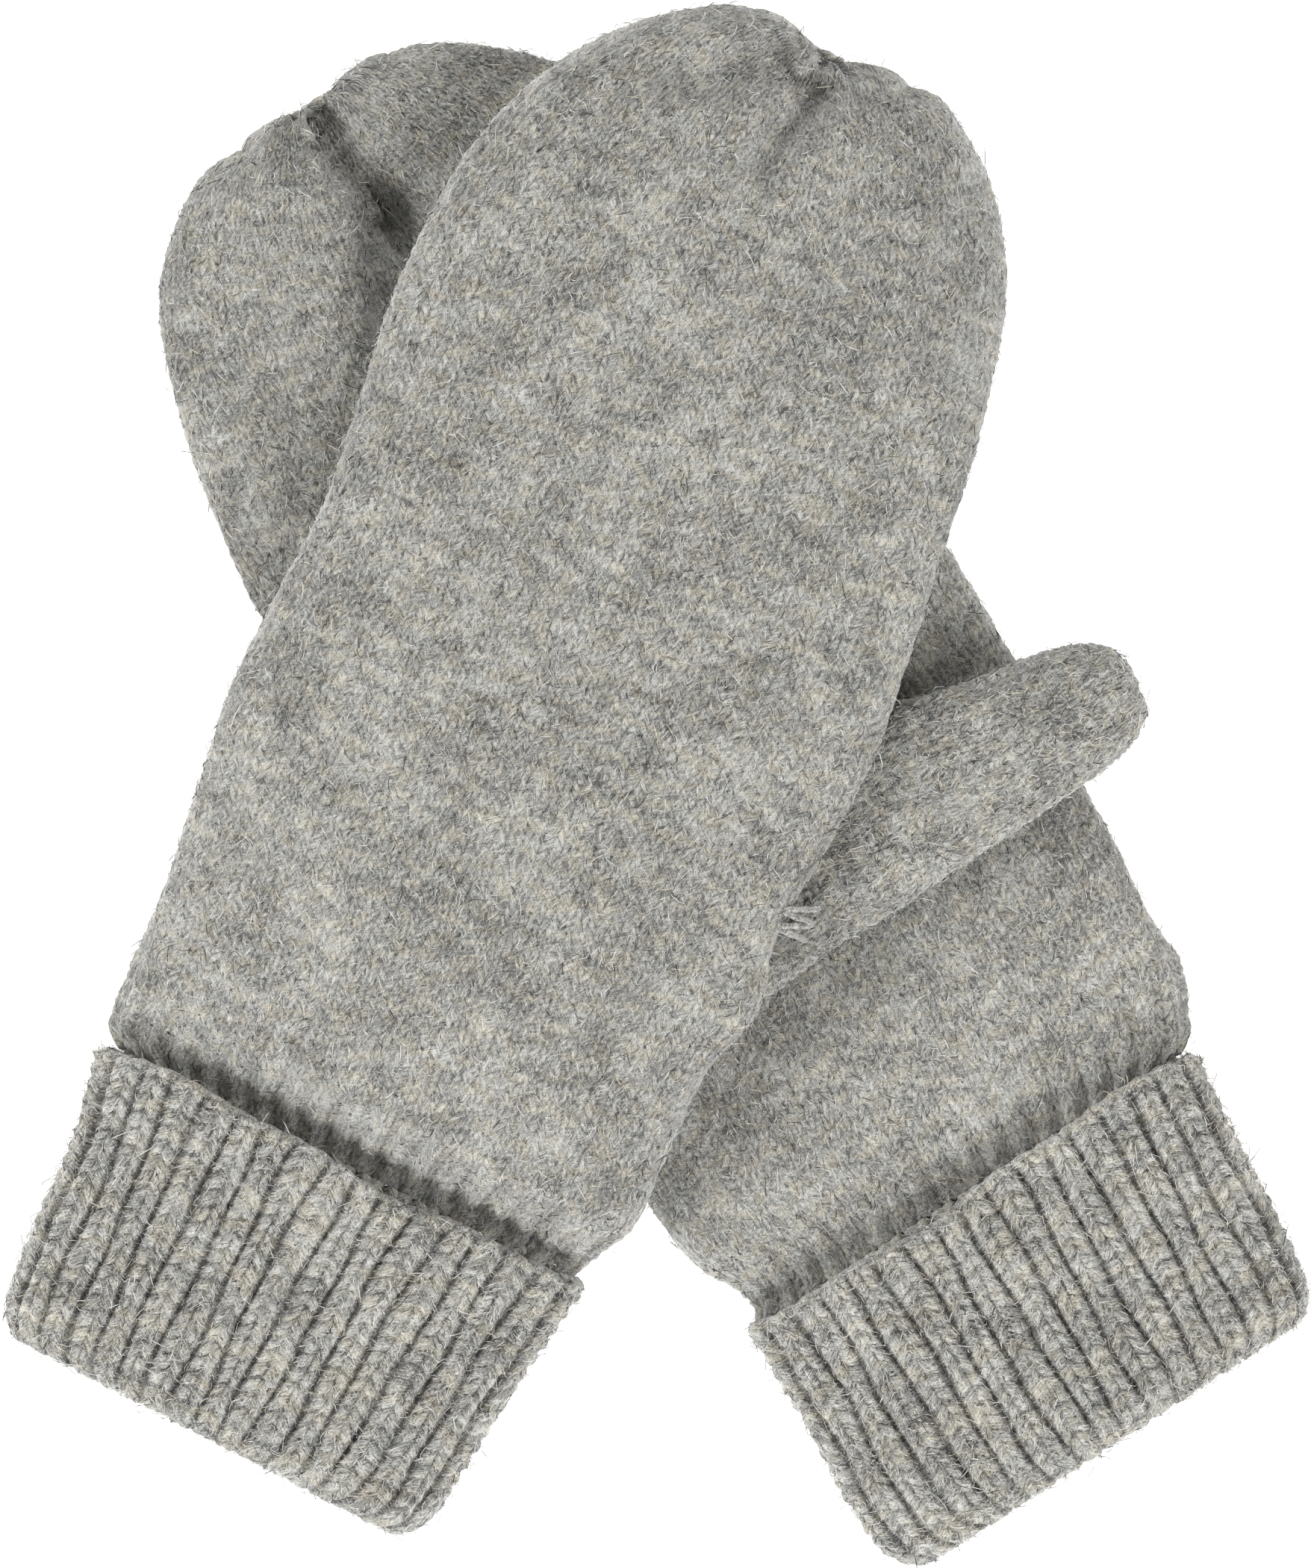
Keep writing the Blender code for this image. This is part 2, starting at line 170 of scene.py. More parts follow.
# Each mitten lies with the middle of its cuff's fold at "fold", turned clockwise by "heading". In
# millimetres: a bulge is a side (1 is the thumb's), a place along, a spread and an amount. A lobe of the
# tip is a place sideways, its reach and its width. A fold of the gathered tip is a line of places
# (sideways, along), its depth, its widths on each side, and the height of the dome on its left.
LEFT = {
    "name": "left",
    "fold": (-80.67 * MM, -112.42 * MM),
    "heading": math.radians(23.9),
    "side": 1,
    "length": 270.0 * MM,
    "drift": 3.5 * MM,
    "cuff_tilt": math.radians(3.5),
    "thumb_swing": math.radians(38.0),
    "base": 17.4 * MM,
    "bulges": (
        (1, 152.0, 34.0, 4.8), (1, 215.0, 20.0, -0.9), (1, 60.0, 12.0, 1.2), (1, 106.0, 10.0, 4.5),
        (-1, 100.0, 22.0, -1.9), (-1, 158.0, 28.0, -3.9), (-1, 55.0, 7.5, 4.2), (-1, 250.0, 17.0, -2.2),
    ),
    "cuff_bulges": ((-1, 50.0, 9.0, 1.1), (-1, 30.0, 12.0, -1.0), (1, 20.0, 40.0, 1.2)),
    "crown_drop": 0.7 * MM,
    "fold_reach": 1.6 * MM,
    "fold_spread": 0.9 * MM,
    "fold_shift": 1.3 * MM,
    "lobes": ((5.0, -6.6, 13.0), (-12.0, 1.4, 8.0), (25.0, 1.6, 6.0)),
    "folds": (
        {
            "line": ((0.8, 243.0), (3.0, 254.0), (5.4, 264.5)),
            "depth": 5.2, "left": 3.6, "right": 3.2, "dome": 0.8,
        },
        {
            "line": ((-19.0, 251.5), (-13.0, 254.0), (-7.0, 260.0), (-1.8, 265.0)),
            "depth": 5.4, "left": 3.8, "right": 4.2, "dome": 0.8,
        },
    ),
}
RIGHT = {
    "name": "right",
    "fold": (82.54 * MM, -116.22 * MM),
    "heading": math.radians(-31.5),
    "side": -1,
    "length": 281.0 * MM,
    "drift": -2.5 * MM,
    "cuff_tilt": math.radians(-1.5),
    "thumb_swing": 0.0,
    "base": 0.0,
    "bulges": (
        (-1, 58.0, 13.0, 4.6), (-1, 84.0, 12.0, 1.2), (-1, 130.0, 45.0, 1.4), (-1, 225.0, 26.0, 1.0),
        (-1, 264.0, 14.0, -3.0), (1, 200.0, 24.0, 2.7), (1, 258.0, 16.0, 1.4), (1, 58.0, 10.0, -2.2),
    ),
    "cuff_bulges": ((1, 12.0, 16.0, 1.7), (1, 47.0, 6.0, -0.9), (-1, 25.0, 30.0, 0.5)),
    "crown_drop": 0.7 * MM,
    "fold_reach": -1.0 * MM,
    "fold_spread": 2.6 * MM,
    "fold_shift": 0.9 * MM,
    "lobes": ((-1.8, -4.5, 15.0), (18.0, -0.5, 12.0), (-22.0, 0.9, 8.0)),
    "folds": (
        {
            "line": (
                (-9.5, 234.0), (-7.3, 241.3), (-4.5, 247.8), (-1.2, 254.2),
                (0.7, 260.3), (-0.6, 267.0), (-1.4, 275.0),
            ),
            "depth": 7.0, "left": 1.7, "right": 9.0, "dome": 2.2,
        },
        {"line": ((0.5, 243.0), (1.5, 253.0)), "depth": 7.0, "left": 2.0, "right": 6.5, "dome": 0.0},
    ),
}


def smooth(low, high, value):
    """0 below low, 1 above high, and a smooth step between them."""
    t = np.clip((value - low) / (high - low), 0.0, 1.0)
    return t * t * (3.0 - 2.0 * t)


# --- the mitten's outline and heights


def hand_half_width(along, length):
    """Half the hand's width: it spreads from the wrist to the palm, and closes over the crown."""
    body = WRIST_HALF_WIDTH + PALM_SPREAD * (1.0 - np.exp(-along / SPREAD_LENGTH))
    s = np.clip((along - length + CROWN_LENGTH) / CROWN_LENGTH, 0.0, 1.0)
    return body * (1.0 - s**CROWN_POWER) ** (1.0 / CROWN_ROOT)


def turnup_half_width(along):
    """Half the width of the cuff's turned-up half."""
    return FOLD_HALF_WIDTH + CUFF_FLARE * along


def centre(mitten, along):
    """Where the hand's centre line has drifted to, across."""
    return mitten["drift"] * smooth(0.0, 100.0 * MM, along)


def over_thumb(off, along):
    """1 where the palm is raised over the folded-in thumb, 0 where it isn't."""
    side = smooth(-2.0 * MM, 16.0 * MM, off)
    start = smooth(82.0 * MM, 100.0 * MM, along)
    end = smooth(212.0 * MM, 232.0 * MM, along)
    return side * start * (1.0 - end)


def turned_to_world(mitten, heading, x, y):
    """Places from the middle of the cuff's fold, turned by heading into the world."""
    c, s = math.cos(heading), math.sin(heading)
    return mitten["fold"][0] + x * c + y * s, mitten["fold"][1] - x * s + y * c


def from_world(mitten, x, y):
    """Across and along in the mitten's frame."""
    dx, dy = x - mitten["fold"][0], y - mitten["fold"][1]
    c, s = math.cos(mitten["heading"]), math.sin(mitten["heading"])
    return (dx * c - dy * s) * mitten["side"], dx * s + dy * c


def outside_support(mitten, across, along):
    """How far points of the upper mitten lie outside the lower mitten's outline."""
    world = turned_to_world(mitten, mitten["heading"], across * mitten["side"], along)
    under_across, under_along = from_world(RIGHT, *world)
    length = RIGHT["length"]
    half = hand_half_width(np.clip(under_along, 0.0, length), length)
    off = under_across - centre(RIGHT, under_along)
    reach = smooth(80.0 * MM, 105.0 * MM, under_along) * (off > 0.0)
    half = half + 18.0 * MM * reach * (1.0 - smooth(210.0 * MM, 235.0 * MM, under_along))
    return np.maximum(np.abs(off) - half, under_along - length)


def lifted(outside, along, inside_reach, outside_reach):
    """How far the lower mitten holds the fabric up, from inside its edge to outside it."""
    held = 1.0 - smooth(-inside_reach, outside_reach, outside)
    return SUPPORT * held * smooth(NECK_END, NECK_END + 9.0 * MM, along)


def layer_heights(mitten, across, along):
    """The fabric's lowest and highest place. Its upper skin bridges the lower mitten's edge more softly."""
    lift, upper_lift = np.zeros_like(along), np.zeros_like(along)
    if mitten is LEFT:
        outside = outside_support(mitten, across, along)
        lift = lifted(outside, along, SLOPE_INSIDE, SLOPE_OUTSIDE)
        upper_lift = np.maximum(lifted(outside, along, BRIDGE_INSIDE, BRIDGE_OUTSIDE), lift - 2.0 * MM)
    fan = over_thumb(across - centre(mitten, along), along)
    cleared = mitten["base"] + THUMB_THICKNESS + THUMB_CLEARANCE
    low = lift * (1.0 - fan) + cleared * fan
    high = (upper_lift + LAYER) * (1.0 - fan) + (cleared + HAND_OVER_THUMB) * fan
    return low, high


# --- the fabric as a grid


def section(half_width, half_height, count, power=ROUNDNESS):
    """A rounded rectangle as count equal steps: offsets from -1 to 1 across, and up."""
    angle = np.linspace(0.0, math.tau, 1441)
    c, s = np.cos(angle), np.sin(angle)
    x = np.sign(c) * np.abs(c) ** (2.0 / power)
    z = np.sign(s) * np.abs(s) ** (2.0 / power)
    steps = np.hypot(np.diff(x) * half_width, np.diff(z) * half_height)
    length = np.concatenate([[0.0], np.cumsum(steps)])
    places = np.linspace(0.0, length[-1], count, endpoint=False)
    return np.interp(places, length, x), np.interp(places, length, z)


def sections(half_widths, half_height, count, power=ROUNDNESS):
    """The section at each half width, as two arrays of rings."""
    pairs = [section(max(w, 1.0 * MM), half_height, count, power) for w in half_widths]
    return np.array([p[0] for p in pairs]), np.array([p[1] for p in pairs])


def grid_normals(points):
    """Normals of a grid of rings that are closed around."""
    around = np.roll(points, -1, axis=1) - np.roll(points, 1, axis=1)
    forward = np.gradient(points, axis=0)
    normal = np.cross(forward, around)
    return normal / np.maximum(np.linalg.norm(normal, axis=2, keepdims=True), 1e-12)


def leg_relief(leg, v, slope):
    """How far a V stitch stands out across its leg and along it, from 0 to 1."""
    return np.abs(np.sin(math.tau * leg)), np.abs(np.sin(math.pi * ((v - slope * leg) % 1.0)))


def knit_relief(u, v):
    """Height from 0 to 1 of V-shaped stitches, one column to each unit of u and one row to each of v."""
    across, along = leg_relief(np.abs((u % 1.0) - 0.5), v, LEG_SLOPE)
    return np.sqrt(across * along)


def stitch_wobble(turn, v):
    """Shifts of the stitches around and along, and how far each stands out, so that no two are alike."""
    around = 0.16 * np.sin(9.0 * turn + 0.31 * v) + 0.12 * np.sin(23.0 * turn - 0.83 * v + 1.0)
    along = 0.25 * np.sin(11.0 * turn - 0.27 * v + 2.0) + 0.16 * np.sin(29.0 * turn + 0.71 * v)
    swell = 1.0 + 0.22 * np.sin(17.0 * turn + 0.53 * v) + 0.22 * np.sin(37.0 * turn - 1.9 * v)
    return around, along, swell


def ring_angles(count):
    """Angles of a ring's points, with the first point again at the end."""
    return np.arange(count + 1) * math.tau / count


def tube_faces(rings, count):
    """Quads between rings of count points each."""
    i = np.arange(count)
    j = np.arange(rings - 1)[:, None]
    a = j * count + i
    b = j * count + (i + 1) % count
    return np.stack([a, b, b + count, a + count], axis=2).reshape(-1, 4)


def tube_uv(u, v):
    """Corner places for tube_faces, from u and v of each step around, one more than the points of a ring."""
    place = np.stack([u, v], axis=2)
    near, far = place[:-1], place[1:]
    return np.stack([near[:, :-1], near[:, 1:], far[:, 1:], far[:, :-1]], axis=2).reshape(-1, 2)


# --- materials


STREAK = (0.0016, 0.00024, 0.001)  # a fibre's length, breadth and depth
STREAK_ANGLES = (10, 55, 115)
GREYS = (
    (0.0, (0.05, 0.05, 0.047)), (0.3, (0.17, 0.168, 0.158)),
    (0.55, (0.39, 0.388, 0.365)), (1.0, (0.76, 0.755, 0.71)),
)
CREAMS = ((0.0, (0.09, 0.08, 0.06)), (0.5, (0.43, 0.395, 0.31)), (1.0, (0.82, 0.77, 0.64)))
FIBRE_TONES = (
    ("pale", (0.82, 0.81, 0.77), 0.38),
    ("cream", (0.68, 0.62, 0.50), 0.14),
    ("grey", (0.34, 0.335, 0.32), 0.24),
    ("dark", (0.04, 0.04, 0.038), 0.24),
)


class Graph:
    """A short way to write a material's nodes. Values are sockets or numbers."""

    def __init__(self, name):
        self.material = bpy.data.materials.new(name)
        self.material.use_nodes = True
        self.tree = self.material.node_tree
        self.shader = self.tree.nodes["Principled BSDF"]

    def node(self, kind, inputs=(), **settings):
        node = self.tree.nodes.new("ShaderNode" + kind)
        for key, value in settings.items():
            setattr(node, key, value)
        self.feed_all(node, inputs)
        return node

    def feed_all(self, node, inputs):
        for key, value in dict(inputs).items():
            self.feed(node.inputs[key], value)

    def feed(self, socket, value):
        if isinstance(value, bpy.types.NodeSocket):
            self.tree.links.new(value, socket)
        else:
            socket.default_value = value

    def math(self, operation, *values):
        node = self.node("Math", operation=operation)
        for socket, value in zip(node.inputs, values):
            self.feed(socket, value)
        return node.outputs[0]

    def vector(self, x, y, z=0.0):
        return self.node("CombineXYZ", {"X": x, "Y": y, "Z": z}).outputs[0]

    def noise(self, vector, scale=1.0, detail=2.0, roughness=0.5):
        inputs = {"Vector": vector, "Scale": scale, "Detail": detail, "Roughness": roughness}
        return self.node("TexNoise", inputs).outputs[0]

    def random(self, vector):
        return self.node("TexWhiteNoise", {"Vector": vector}, noise_dimensions="3D").outputs[0]

    def turned(self, vector, degrees, scale):
        """The vector turned about Z and then scaled on each axis."""
        inputs = {"Vector": vector, "Rotation": (0.0, 0.0, math.radians(degrees)), "Scale": scale}
        return self.node("Mapping", inputs, vector_type="TEXTURE").outputs[0]

    def ramp(self, value, stops):
        node = self.node("ValToRGB", {"Fac": value})
        elements = node.color_ramp.elements
        while len(elements) < len(stops):
            elements.new(0.5)
        for element, (position, colour) in zip(elements, stops):
            element.position = position
            element.color = (*colour, 1.0)
        return node.outputs[0]

    def mix(self, share, first, second):
        node = self.node("Mix", data_type="RGBA")
        self.feed(node.inputs[0], share)
        self.feed(node.inputs[6], first)
        self.feed(node.inputs[7], second)
        return node.outputs[2]


def stitch_places(g, slope, widen):
    """Sockets over the knitting: u, v, distance from a column's middle, leg, row, and half column."""
    parts = g.node("SeparateXYZ", {"Vector": g.node("UVMap", uv_map="knit").outputs[0]})
    u, v = parts.outputs[0], parts.outputs[1]
    off = g.math("ABSOLUTE", g.math("SUBTRACT", g.math("FRACT", u), 0.5))
    leg = g.math("MINIMUM", g.math("MULTIPLY", off, widen), 0.5)
    row = g.math("SUBTRACT", v, g.math("MULTIPLY", leg, slope))
    half = g.math("FLOOR", g.math("MULTIPLY", u, 2.0))
    return u, v, off, leg, row, half


def stitch_pit_shade(g, leg, row):
    """Painted shade in the hollows between stitches: 1 in the hollows, and falling to 0 on their crests."""
    side = g.math("ABSOLUTE", g.math("SINE", g.math("MULTIPLY", leg, math.tau)))
    length = g.math("ABSOLUTE", g.math("SINE", g.math("MULTIPLY", row, math.pi)))
    stitch = g.math("SQRT", g.math("MULTIPLY", side, length))
    return g.math("POWER", g.math("SUBTRACT", 1.0, stitch), 1.6)


def loose_fibres(g, body):
    """Short streaks in three directions: the palest and the darkest at each place."""
    streaks = [g.noise(g.turned(body, angle, STREAK), 1.0, 1.0) for angle in STREAK_ANGLES]
    palest = g.math("MAXIMUM", g.math("MAXIMUM", streaks[0], streaks[1]), streaks[2])
    darkest = g.math("MINIMUM", g.math("MINIMUM", streaks[0], streaks[1]), streaks[2])
    return palest, darkest


def wool_colour(g, tone, u, v):
    """The wool's grey or cream by tone, with cream in drifts."""
    grey = g.ramp(tone, GREYS)
    drift = g.noise(g.vector(g.math("MULTIPLY", u, 0.5), g.math("MULTIPLY", v, 0.8), 5.0), 1.0, 3.0, 0.7)
    share = g.math("MULTIPLY", g.math("SUBTRACT", drift, 0.47), 5.0)
    share = g.node("Clamp", {"Value": share, "Min": 0.0, "Max": 0.7}).outputs[0]
    return g.mix(share, grey, g.ramp(tone, CREAMS))


def heathered_wool(name, slope, widen, valley):
    """Heathered grey wool over V stitches, whose legs rise by slope, with painted shade in the hollows
    between stitches. Ribs widen the legs between valleys, and valley sets how strongly painted shade darkens
    those valleys.
    """
    g = Graph(name)
    u, v, off, leg, row, half = stitch_places(g, slope, widen)
    stitch_tone = g.random(g.vector(half, g.math("FLOOR", row), 3.0))
    body = g.node("TexCoord").outputs["Object"]
    curl = g.noise(body, 700.0, 1.0)
    bent_row = g.math("ADD", g.math("MULTIPLY", row, 10.0), g.math("MULTIPLY", curl, 2.5))
    strands = g.noise(g.vector(g.math("MULTIPLY", leg, 2.5), bent_row, half), 1.0, 3.0, 0.8)
    fibres, hollow = loose_fibres(g, body)
    # Painted shade: this value darkens the wool's tone in the hollows between stitches.
    pit_shade = stitch_pit_shade(g, leg, row)
    yarn_tone = g.noise(g.vector(g.math("MULTIPLY", u, 0.45), g.math("MULTIPLY", v, 0.8)), 1.0, 1.5, 0.5)
    patches = g.noise(body, 75.0, 2.0, 0.5)
    # Painted shade: this value, scaled by valley, darkens the wool's tone in the rib's valleys.
    inputs = {"Value": off, "From Min": 0.3, "From Max": 0.46}
    groove_shade = g.node("MapRange", inputs, interpolation_type="SMOOTHSTEP").outputs[0]
    tone = 0.54
    for share, value, middle in (
        (0.07, stitch_tone, 0.5), (2.0, strands, 0.5), (1.1, fibres, 0.6), (1.1, hollow, 0.4),
        (-0.26, pit_shade, 0.2), (0.6, yarn_tone, 0.5), (0.56, patches, 0.5), (-valley, groove_shade, 0.25),
    ):
        tone = g.math("ADD", tone, g.math("MULTIPLY", g.math("SUBTRACT", value, middle), share))
    colour = wool_colour(g, tone, u, v)
    height = g.math("ADD", g.math("MULTIPLY", strands, 1.5), g.math("ADD", fibres, hollow))
    bump = g.node("Bump", {"Height": height, "Strength": 0.6, "Distance": 0.0004})
    g.feed_all(g.shader, {
        "Base Color": colour, "Normal": bump.outputs[0], "Roughness": 0.95,
        "Specular IOR Level": 0.2, "Sheen Weight": 0.9, "Sheen Roughness": 0.5,
    })
    return g.material


def fibre_wool(name, colour):
    """One plain colour for the loose fibres of one tone."""
    g = Graph(name)
    g.feed_all(g.shader, {"Base Color": (*colour, 1.0), "Roughness": 0.8, "Specular IOR Level": 0.2})
    return g.material


# --- loose fibres

# Triangles of one spindle: its root, two rings of three points, and its end
FIBRE_FACES = np.array([
    (0, 2, 1), (0, 3, 2), (0, 1, 3), (1, 2, 5), (1, 5, 4), (2, 3, 6), (2, 6, 5), (3, 1, 4), (3, 4, 6),
    (4, 5, 7), (5, 6, 7), (6, 4, 7),
])


def unit(vectors):
    """The vectors at length 1."""
    return vectors / np.maximum(np.linalg.norm(vectors, axis=1, keepdims=True), 1e-12)


def without(vectors, direction):
    """The vectors less their part along a unit direction."""
    return vectors - direction * np.sum(vectors * direction, axis=1, keepdims=True)


def fibre_cells(points, normal, count, random):
    """Cells of the grid that fibres grow from, more of them where the skin faces up."""
    nxt = np.roll(points, -1, axis=1)
    area = np.linalg.norm(np.cross(nxt[:-1] - points[:-1], points[1:] - points[:-1]), axis=2)
    seen = 0.25 + 0.75 * np.clip(normal[:-1, :, 2] * 2.0 + 0.6, 0.0, 1.0)
    weight = (area * seen).ravel()
    chosen = random.choice(weight.size, size=count, p=weight / weight.sum())
    return np.divmod(chosen, points.shape[1])


def fibre_roots(points, j, i, random):
    """A random place in each cell."""
    a, b = random.random((2, len(j), 1))
    beyond = (i + 1) % points.shape[1]
    near = points[j, i] * (1 - a) + points[j, beyond] * a
    far = points[j + 1, i] * (1 - a) + points[j + 1, beyond] * a
    return near * (1 - b) + far * b


def fibre_verts(root, up, along, beside, lean, random):
    """Eight points of each fibre: its root, two rings at its bends, and its end back at the fabric."""
    count = len(root)
    angle = lean[:, None] + random.normal(0.0, 0.4, (count, 1))
    angle += np.where(random.random((count, 1)) < 0.5, 0.0, math.pi)
    bend = random.normal(0.0, 0.7, (count, 1))
    length = np.clip(random.lognormal(0.65, 0.45, (count, 1)), 1.0, 6.0) * MM
    lift = np.abs(random.normal(0.0, 0.12, (count, 1)))
    thick = random.uniform(0.04, 0.085, (count, 1)) * MM
    spine = [root - up * 0.1 * MM]
    for k, rise in enumerate((lift + 0.1, lift * 0.3, -0.8 * lift)):
        heading = along * np.cos(angle + k * bend) + beside * np.sin(angle + k * bend)
        spine.append(spine[-1] + (heading + up * rise) * length / 3.0)
    side = np.cross(up, heading)
    rings = [
        spine[k] + side * thick * math.cos(turn) + up * thick * math.sin(turn)
        for k in (1, 2) for turn in (0.0, 2.1, 4.2)
    ]
    return np.stack([spine[0], *rings, spine[3]], axis=1).reshape(-1, 3)


def fibres(name, points, normal, lean, count, random, tones):
    """Loose fibres on a grid of rings: thin closed spindles with two bends, that lean with the stitches."""
    j, i = fibre_cells(points, normal, count, random)
    root = fibre_roots(points, j, i, random)
    up = normal[j, i]
    along = unit(without(points[j + 1, i] - points[j, i], up))
    beside = unit(without(without(points[j, (i + 1) % points.shape[1]] - points[j, i], up), along))
    verts = fibre_verts(root, up, along, beside, lean[j, i], random)
    verts[:, 2] = np.maximum(verts[:, 2], 0.03 * MM)
    faces = (np.arange(count)[:, None, None] * 8 + FIBRE_FACES).reshape(-1, 3)
    obj = make_object(name, verts, faces, None, tones[0])
    for tone in tones[1:]:
        obj.data.materials.append(tone)
    shares = [tone[2] for tone in FIBRE_TONES]
    pick = random.choice(len(tones), size=count, p=shares)
    obj.data.polygons.foreach_set("material_index", np.repeat(pick, len(FIBRE_FACES)).astype(np.int32))
    return obj


# --- the hand


def crown_outline(mitten, rows, inset):
    """Half width and place along of the outline, and place along of the middle, at each row."""
    length = mitten["length"]
    start, end = HAND_START, length - 1.0 * MM
    crown = length - CROWN_LENGTH
    bend = crown + CROWN_LENGTH * np.sin(np.linspace(0.0, math.pi / 2.0, 200))
    v = np.append(np.linspace(start, crown, 60)[:-1], bend[bend < end])
    v = np.append(v, end)
    w = hand_half_width(v, length)
    steps = np.hypot(np.diff(v), np.diff(w) * (v[1:] > crown))
    edge = np.append(0.0, np.cumsum(steps))
    middle = start + (end - inset - start) * np.linspace(0.0, 1.0, rows)
    share = np.clip((middle - crown) / (end - inset - crown), 0.0, 1.0)
    at_crown = crown - start
    travelled = np.minimum(middle - start, at_crown) + share * (edge[-1] - at_crown)
    return np.interp(travelled, edge, w), np.interp(travelled, edge, v), middle


def hand_half_height(mitten, along, half, inset):
    """Half the hand's height: less where it goes into the cuff and at the tip."""
    cuffed = 1.0 - smooth(NECK_END, NECK_END + 32.0 * MM, along)
    tip = smooth(mitten["length"] - 8.0 * MM, mitten["length"], along)
    half = half - (CUFF_WALL + GAP + WRIST_DROP) * cuffed - 0.35 * half * tip
    return half - np.minimum(inset, 0.55 * half)


def outline_bulges(bulges, f, along):
    """Where the outline swells or draws in, by side (1 the thumb's), place along, spread and amount."""
    shift = np.zeros_like(f)
    for side, at, spread, amount in bulges:
        swell = amount * MM * np.exp(-(((along / MM - at) / spread) ** 2))
        shift += side * swell * np.clip(side * f, 0.0, 1.0) ** 2
    return shift


def hand_points(mitten, rows, inset):
    """Rings of the hand's skin from the wrist to the gathered tip, before its stitches."""
    w, v_edge, v_mid = crown_outline(mitten, rows, inset)
    neck = 1.0 - smooth(NECK_END, NECK_END + 14.0 * MM, v_mid)
    inner_cuff = turnup_half_width(v_mid) - CUFF_WALL - GAP
    w = w + (inner_cuff - hand_half_width(v_mid, mitten["length"])) * neck
    w = np.maximum(w - inset, 0.5 * MM)
    f, up = sections(w, LAYER / 2.0, HAND_COLUMNS * COLUMN_STEPS)
    beyond_cuff = smooth(50.0 * MM, NECK_END, v_mid)[:, None]
    swell = outline_bulges(mitten["bulges"], f, v_mid[:, None]) * beyond_cuff
    across = centre(mitten, v_mid)[:, None] + f * w[:, None] + swell
    along = v_mid[:, None] + (v_edge - inset - v_mid)[:, None] * f**2 * (v_mid > v_edge[0])[:, None]
    low, high = layer_heights(mitten, across, along)
    half = hand_half_height(mitten, along, (high - low) / 2.0, inset)
    z = (low + high) / 2.0 + half * up
    z += fold_height(mitten, across * mitten["side"], along) * smooth(-0.2, 0.7, up)
    tip = smooth(mitten["length"] - 25.0 * MM, mitten["length"], along)
    for at, reach, wide in np.array(mitten["lobes"]) * MM:
        along += reach * tip * np.exp(-(((across * mitten["side"] - at) / wide) ** 2))
    along -= mitten["crown_drop"] * smooth(mitten["length"] - 60.0 * MM, mitten["length"] - 15.0 * MM, along)
    return place(mitten, across, along, z)


def line_distance(line, x, y):
    """Distance of points from a broken line, positive on its left and negative on its right."""
    nearest = np.full_like(x, 1.0)
    for (x0, y0), (x1, y1) in zip(line[:-1], line[1:]):
        dx, dy = x1 - x0, y1 - y0
        t = np.clip(((x - x0) * dx + (y - y0) * dy) / (dx * dx + dy * dy), 0.0, 1.0)
        px, py = x - x0 - t * dx, y - y0 - t * dy
        distance = np.hypot(px, py) * np.where(dx * py - dy * px > 0.0, 1.0, -1.0)
        nearest = np.where(np.abs(distance) < np.abs(nearest), distance, nearest)
    return nearest


def fold_height(mitten, x, y):
    """How far the upper skin sinks into the folds of the gathered tip, and swells beside them."""
    height = np.zeros_like(x)
    for fold in mitten["folds"]:
        line = np.array(fold["line"]) * MM
        off = line_distance(line, x, y) / MM
        wide = np.where(off > 0.0, fold["left"], fold["right"])
        starts = smooth(line[0, 1] - 14.0 * MM, line[0, 1] + 12.0 * MM, y)
        dome = fold["dome"] * np.exp(-(((off - 8.0) / 6.0) ** 2))
        height += (dome - fold["depth"] * np.exp(-((off / wide) ** 2))) * MM * starts
    return height


def place(mitten, across, along, z):
    """Points of the mitten's frame in the world, turned with the cuff near the wrist."""
    x, y = across * mitten["side"], along
    a = -mitten["cuff_tilt"]
    turned_x = x * math.cos(a) - y * math.sin(a)
    turned_y = x * math.sin(a) + y * math.cos(a)
    straight = smooth(50.0 * MM, 110.0 * MM, along)
    x, y = turned_x + (x - turned_x) * straight, turned_y + (y - turned_y) * straight
    return np.stack([*turned_to_world(mitten, mitten["heading"], x, y), z], axis=-1)


def cuff_place(mitten, across, along, z):
    """Points of the cuff's frame in the world."""
    heading = mitten["heading"] + mitten["cuff_tilt"]
    return np.stack([*turned_to_world(mitten, heading, across * mitten["side"], along), z], axis=-1)


def outward(mitten, points):
    """Normals that point out of rings that run towards the fingertips, and in where they run to the fold."""
    return grid_normals(points) * mitten["side"]


def on_table(points):
    """The table flattens what would reach below it."""
    points[..., 2] = np.maximum(points[..., 2], 0.1 * MM)
    return points


def stitch_grid(turn, u, v):
    """The wandering places of the stitches, and their relief, over a grid of rings."""
    around, along, swell = stitch_wobble(turn, v)
    u, v = u + around, v + along
    return u, v, ((knit_relief(u, v) * swell)[:, :-1] - STITCH_MIDDLE) * STITCH_DEPTH


def rib_strip(rows, turn):
    """Ribs that the hand starts with, and that fade out towards the palm."""
    travelled = np.arange(rows)[:, None] * HAND_ROW / ROW_STEPS
    ribbed = 1.0 - smooth(0.0, RIB_STRIP_LENGTH, travelled)
    return RIB_STRIP_DEPTH * ribbed * np.cos(turn * HAND_COLUMNS / 2.0)


